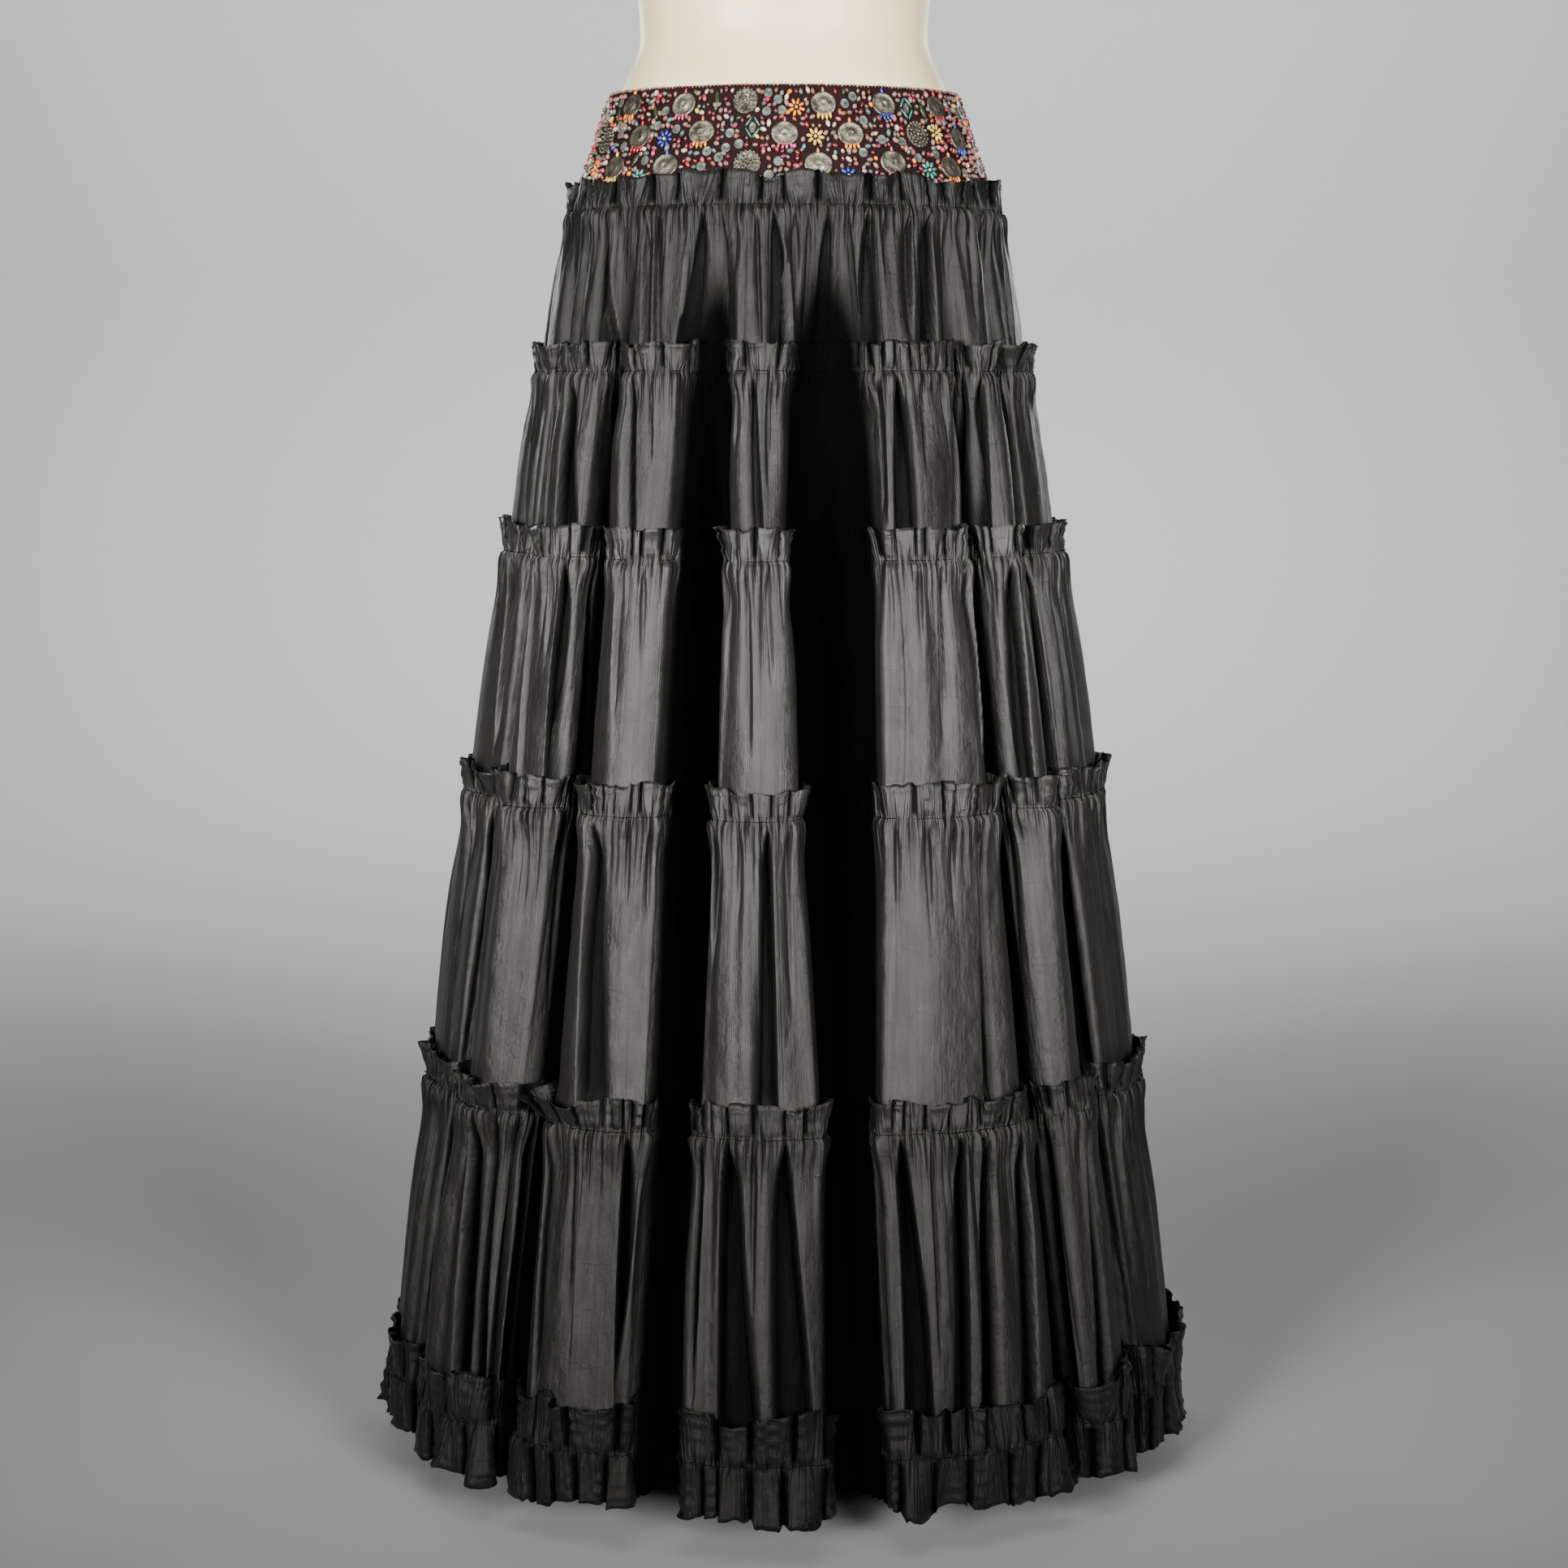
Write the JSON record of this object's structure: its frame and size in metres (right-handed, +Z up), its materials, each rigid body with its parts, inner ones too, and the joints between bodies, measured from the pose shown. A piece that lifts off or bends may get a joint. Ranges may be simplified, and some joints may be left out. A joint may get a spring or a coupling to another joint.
{
  "type": "ruffled maxi skirt on a dress form",
  "caption": "Floor-length tiered skirt in crisp black cloth, each tier gathered under a standing ruffle, with a beaded velvet hip yoke, worn on a plain limbless dress form on a stand.",
  "frame": {"origin": "centre of the underside of the round base that the dress form stands on", "axes": "+Z up along the pole, front of the skirt towards -Y, +X to the right of the picture"},
  "size_m": [0.6573, 0.5711, 1.552],
  "materials": {
    "taffeta": "crisp near-black taffeta with a soft sheen along its folds",
    "beaded_velvet": "very dark burgundy velvet under dense beadwork",
    "coin_silver": "tarnished silver-coloured stamped metal",
    "beads": "small glossy beads and sequins in warm, blue and green colours",
    "form_shell": "smooth satin cream shell",
    "stand_steel": "brushed steel"
  },
  "bodies": {
    "root": {"yoke_front": "beaded_velvet", "yoke_back": "beaded_velvet", "tier_1_front": "taffeta", "tier_1_back": "taffeta", "tier_2_front": "taffeta", "tier_2_back": "taffeta", "tier_3_front": "taffeta", "tier_3_back": "taffeta", "tier_4_front": "taffeta", "tier_4_back": "taffeta", "tier_5_front": "taffeta", "tier_5_back": "taffeta", "flounce_front": "taffeta", "flounce_back": "taffeta", "form_torso": "form_shell", "stand_pole": "stand_steel", "stand_base": "stand_steel"}
  },
  "joints": []
}
